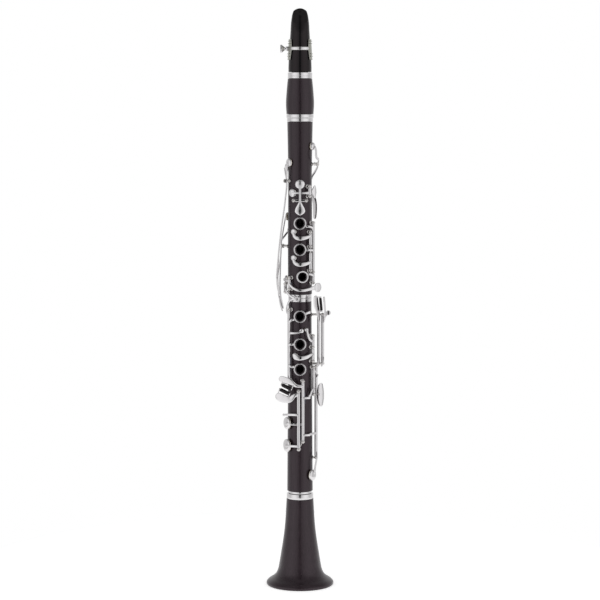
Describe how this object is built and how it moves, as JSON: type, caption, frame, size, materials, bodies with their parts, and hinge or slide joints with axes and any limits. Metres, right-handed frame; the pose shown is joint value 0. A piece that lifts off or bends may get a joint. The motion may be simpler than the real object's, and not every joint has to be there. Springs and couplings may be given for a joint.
{
  "type": "clarinet",
  "caption": "Straight wooden clarinet with a flared bell, plated keys, seven finger rings, rollers and a reed mouthpiece, standing on its bell.",
  "frame": {"origin": "middle of the bell's foot, on the surface it stands on", "axes": "+Z along the bore towards the mouthpiece's tip; finger holes face -Y; +X towards the left little finger's levers"},
  "size_m": [0.078, 0.078, 0.6649],
  "materials": {
    "blackwood": "oiled, near black, fine straight grain",
    "ebonite": "polished hard rubber",
    "silver_plate": "bright silver plate",
    "hinge_steel": "plated posts and steel rods",
    "cork": "greased cork",
    "cane": "dry cane",
    "roller_plastic": "polished black"
  },
  "bodies": {
    "clarinet_body": {"a_hinge": "hinge_steel", "barrel": "blackwood", "barrel_foot_ring": "silver_plate", "barrel_top_ring": "silver_plate", "bell": "blackwood", "bell_ring": "silver_plate", "bell_tenon_cork": "cork", "bridge_hinge": "hinge_steel", "c_sharp_hinge": "hinge_steel", "crescent_hinge": "hinge_steel", "g_sharp_hinge": "hinge_steel", "left_lever_hinges": "hinge_steel", "ligature": "silver_plate", "little_finger_hinges": "hinge_steel", "lower_crescent_hinge": "hinge_steel", "lower_joint": "blackwood", "lower_joint_ring": "silver_plate", "lower_ring_hinge": "hinge_steel", "middle_tenon_cork": "cork", "mouthpiece": "ebonite", "mouthpiece_cork": "cork", "reed": "cane", "register_hinge": "hinge_steel", "right_side_hinges": "hinge_steel", "side_hinge": "hinge_steel", "socket_ring": "silver_plate", "thumb_rest": "silver_plate", "thumb_rest_lower_screw": "hinge_steel", "thumb_rest_upper_screw": "hinge_steel", "trill_hinge": "hinge_steel", "upper_joint": "blackwood", "upper_joint_ring": "silver_plate", "upper_ring_hinge": "hinge_steel", "upper_tenon_cork": "cork"},
    "a_key": {"a_key": "silver_plate"},
    "bridge_lever": {"bridge_lever": "silver_plate"},
    "c_sharp_key": {"c_sharp_key": "silver_plate"},
    "first_crescent_key": {"first_crescent_key": "silver_plate"},
    "fork_key": {"fork_key": "silver_plate"},
    "g_sharp_key": {"g_sharp_key": "silver_plate"},
    "left_e_lever": {"left_e_lever": "silver_plate"},
    "left_f_sharp_lever": {"left_f_sharp_lever": "silver_plate"},
    "ligature_screw": {"ligature_screw": "silver_plate"},
    "link_lever": {"link_lever": "silver_plate"},
    "low_e_key": {"low_e_key": "silver_plate"},
    "low_f_key": {"low_f_key": "silver_plate"},
    "low_f_sharp_key": {"low_f_sharp_key": "silver_plate"},
    "lower_crescent_key": {"lower_crescent_key": "silver_plate"},
    "lower_ring_key": {"lower_ring_key": "silver_plate"},
    "lower_roller": {"lower_roller": "roller_plastic"},
    "lower_side_key": {"lower_side_key": "silver_plate"},
    "lower_trill_key": {"lower_trill_key": "silver_plate"},
    "register_key": {"register_key": "silver_plate"},
    "second_crescent_key": {"second_crescent_key": "silver_plate"},
    "side_roller": {"side_roller": "roller_plastic"},
    "third_ring_key": {"third_ring_key": "silver_plate"},
    "upper_ring_key": {"upper_ring_key": "silver_plate"},
    "upper_roller": {"upper_roller": "roller_plastic"},
    "upper_side_key": {"upper_side_key": "silver_plate"},
    "upper_trill_key": {"upper_trill_key": "silver_plate"}
  },
  "joints": [
    {"name": "register_key_hinge", "type": "hinge", "parent": "clarinet_body", "child": "register_key", "pos_m": [0.01844, 0.0046, 0.488], "axis": [-0.2419, 0.9703, 0], "range_deg": [0, 4], "stiffness_Nm_per_rad": 0.02, "springref_deg": -22.92},
    {"name": "upper_trill_key_hinge", "type": "hinge", "parent": "clarinet_body", "child": "upper_trill_key", "pos_m": [-0.017, -0.0053, 0.469], "axis": [0, -1, 0], "range_deg": [0, 1.8], "stiffness_Nm_per_rad": 0.02, "springref_deg": -22.92},
    {"name": "lower_trill_key_hinge", "type": "hinge", "parent": "clarinet_body", "child": "lower_trill_key", "pos_m": [-0.017, -0.0014, 0.469], "axis": [0, -1, 0], "range_deg": [0, 2.4], "stiffness_Nm_per_rad": 0.02, "springref_deg": -22.92},
    {"name": "upper_side_key_hinge", "type": "hinge", "parent": "clarinet_body", "child": "upper_side_key", "pos_m": [-0.0195, 0.0045, 0.394], "axis": [0, -1, 0], "range_deg": [0, 2.5], "stiffness_Nm_per_rad": 0.02, "springref_deg": -22.92},
    {"name": "lower_side_key_hinge", "type": "hinge", "parent": "clarinet_body", "child": "lower_side_key", "pos_m": [-0.0195, 0.0086, 0.394], "axis": [0, -1, 0], "range_deg": [0, 3], "stiffness_Nm_per_rad": 0.02, "springref_deg": -22.92},
    {"name": "a_key_hinge", "type": "hinge", "parent": "clarinet_body", "child": "a_key", "pos_m": [0, -0.0183, 0.447], "axis": [1, 0, 0], "range_deg": [0, 5], "stiffness_Nm_per_rad": 0.02, "springref_deg": -22.92},
    {"name": "g_sharp_key_hinge", "type": "hinge", "parent": "clarinet_body", "child": "g_sharp_key", "pos_m": [0.01105, -0.01521, 0.457], "axis": [0, 0, 1], "range_deg": [0, 5], "stiffness_Nm_per_rad": 0.02, "springref_deg": -22.92},
    {"name": "upper_ring_key_hinge", "type": "hinge", "parent": "clarinet_body", "child": "upper_ring_key", "pos_m": [0.01518, -0.00949, 0.393], "axis": [0, 0, -1], "range_deg": [0, 3.3], "stiffness_Nm_per_rad": 0.02, "springref_deg": -22.92},
    {"name": "third_ring_key_hinge", "type": "hinge", "parent": "clarinet_body", "child": "third_ring_key", "pos_m": [0.01518, -0.00949, 0.359], "axis": [0, 0, -1], "range_deg": [0, 3.3], "stiffness_Nm_per_rad": 0.02, "springref_deg": -22.92},
    {"name": "first_crescent_key_hinge", "type": "hinge", "parent": "clarinet_body", "child": "first_crescent_key", "pos_m": [0.01191, -0.01323, 0.403], "axis": [0, 0, -1], "range_deg": [0, 2.4], "stiffness_Nm_per_rad": 0.02, "springref_deg": -22.92},
    {"name": "second_crescent_key_hinge", "type": "hinge", "parent": "clarinet_body", "child": "second_crescent_key", "pos_m": [0.01191, -0.01323, 0.378], "axis": [0, 0, -1], "range_deg": [0, 2.4], "stiffness_Nm_per_rad": 0.02, "springref_deg": -22.92},
    {"name": "c_sharp_key_hinge", "type": "hinge", "parent": "clarinet_body", "child": "c_sharp_key", "pos_m": [-0.01225, -0.0136, 0.352], "axis": [0, 0, 1], "range_deg": [0, 3.2], "stiffness_Nm_per_rad": 0.02, "springref_deg": -22.92},
    {"name": "bridge_lever_hinge", "type": "hinge", "parent": "clarinet_body", "child": "bridge_lever", "pos_m": [-0.01672, -0.00744, 0.347], "axis": [0, 0, 1], "range_deg": [0, 2.1], "stiffness_Nm_per_rad": 0.02, "springref_deg": -22.92},
    {"name": "lower_ring_key_hinge", "type": "hinge", "parent": "clarinet_body", "child": "lower_ring_key", "pos_m": [-0.01273, -0.0123, 0.282], "axis": [0, 0, 1], "range_deg": [0, 3.2], "stiffness_Nm_per_rad": 0.02, "springref_deg": -22.92},
    {"name": "fork_key_hinge", "type": "hinge", "parent": "clarinet_body", "child": "fork_key", "pos_m": [0.01492, -0.01006, 0.285], "axis": [0, 0, -1], "range_deg": [0, 2.8], "stiffness_Nm_per_rad": 0.02, "springref_deg": -22.92},
    {"name": "lower_crescent_key_hinge", "type": "hinge", "parent": "clarinet_body", "child": "lower_crescent_key", "pos_m": [0.01492, -0.01006, 0.27], "axis": [0, 0, -1], "range_deg": [0, 2.2], "stiffness_Nm_per_rad": 0.02, "springref_deg": -22.92},
    {"name": "low_f_key_hinge", "type": "hinge", "parent": "clarinet_body", "child": "low_f_key", "pos_m": [0.00341, -0.01839, 0.205], "axis": [0, 0, -1], "range_deg": [0, 2.7], "stiffness_Nm_per_rad": 0.02, "springref_deg": -22.92},
    {"name": "low_e_key_hinge", "type": "hinge", "parent": "clarinet_body", "child": "low_e_key", "pos_m": [-0.00159, -0.01893, 0.195], "axis": [0, 0, -1], "range_deg": [0, 2.9], "stiffness_Nm_per_rad": 0.02, "springref_deg": -22.92},
    {"name": "left_f_sharp_lever_hinge", "type": "hinge", "parent": "clarinet_body", "child": "left_f_sharp_lever", "pos_m": [0.02149, -0.00302, 0.287], "axis": [0, 0, -1], "range_deg": [0, 6.1], "stiffness_Nm_per_rad": 0.02, "springref_deg": -22.92},
    {"name": "left_e_lever_hinge", "type": "hinge", "parent": "clarinet_body", "child": "left_e_lever", "pos_m": [0.02598, 0.00091, 0.287], "axis": [0, 0, -1], "range_deg": [0, 5.1], "stiffness_Nm_per_rad": 0.02, "springref_deg": -22.92},
    {"name": "low_f_sharp_key_hinge", "type": "hinge", "parent": "clarinet_body", "child": "low_f_sharp_key", "pos_m": [0.0185, -0.00194, 0.2], "axis": [0, 0, -1], "range_deg": [0, 5], "stiffness_Nm_per_rad": 0.02, "springref_deg": -22.92},
    {"name": "link_lever_hinge", "type": "hinge", "parent": "clarinet_body", "child": "link_lever", "pos_m": [0.01572, -0.00836, 0.24], "axis": [0, 0, 1], "range_deg": [0, 4.1], "stiffness_Nm_per_rad": 0.02, "springref_deg": -22.92},
    {"name": "upper_roller_spin", "type": "hinge", "parent": "low_f_key", "child": "upper_roller", "pos_m": [-0.0154, -0.0187, 0.2337], "axis": [0.8826, -0.2648, -0.3884], "continuous": true},
    {"name": "lower_roller_spin", "type": "hinge", "parent": "low_e_key", "child": "lower_roller", "pos_m": [-0.0175, -0.01895, 0.2283], "axis": [0.8717, -0.3051, -0.3835], "continuous": true},
    {"name": "side_roller_spin", "type": "hinge", "parent": "left_f_sharp_lever", "child": "side_roller", "pos_m": [0.0239, -0.0126, 0.3284], "axis": [-0.0964, -0.0827, 0.9919], "continuous": true},
    {"name": "ligature_screw_turn", "type": "hinge", "parent": "clarinet_body", "child": "ligature_screw", "pos_m": [-0.017, 0, 0.619], "axis": [-1, 0, 0], "range_deg": [-180, 180]}
  ],
  "couplings": [
    {"joint": "bridge_lever_hinge", "follows": "upper_ring_key_hinge", "ratio": 0.6061},
    {"joint": "left_f_sharp_lever_hinge", "follows": "low_f_sharp_key_hinge", "ratio": 1.2},
    {"joint": "link_lever_hinge", "follows": "low_f_key_hinge", "ratio": 1.4815},
    {"joint": "left_e_lever_hinge", "follows": "low_f_key_hinge", "ratio": 1.8519}
  ]
}
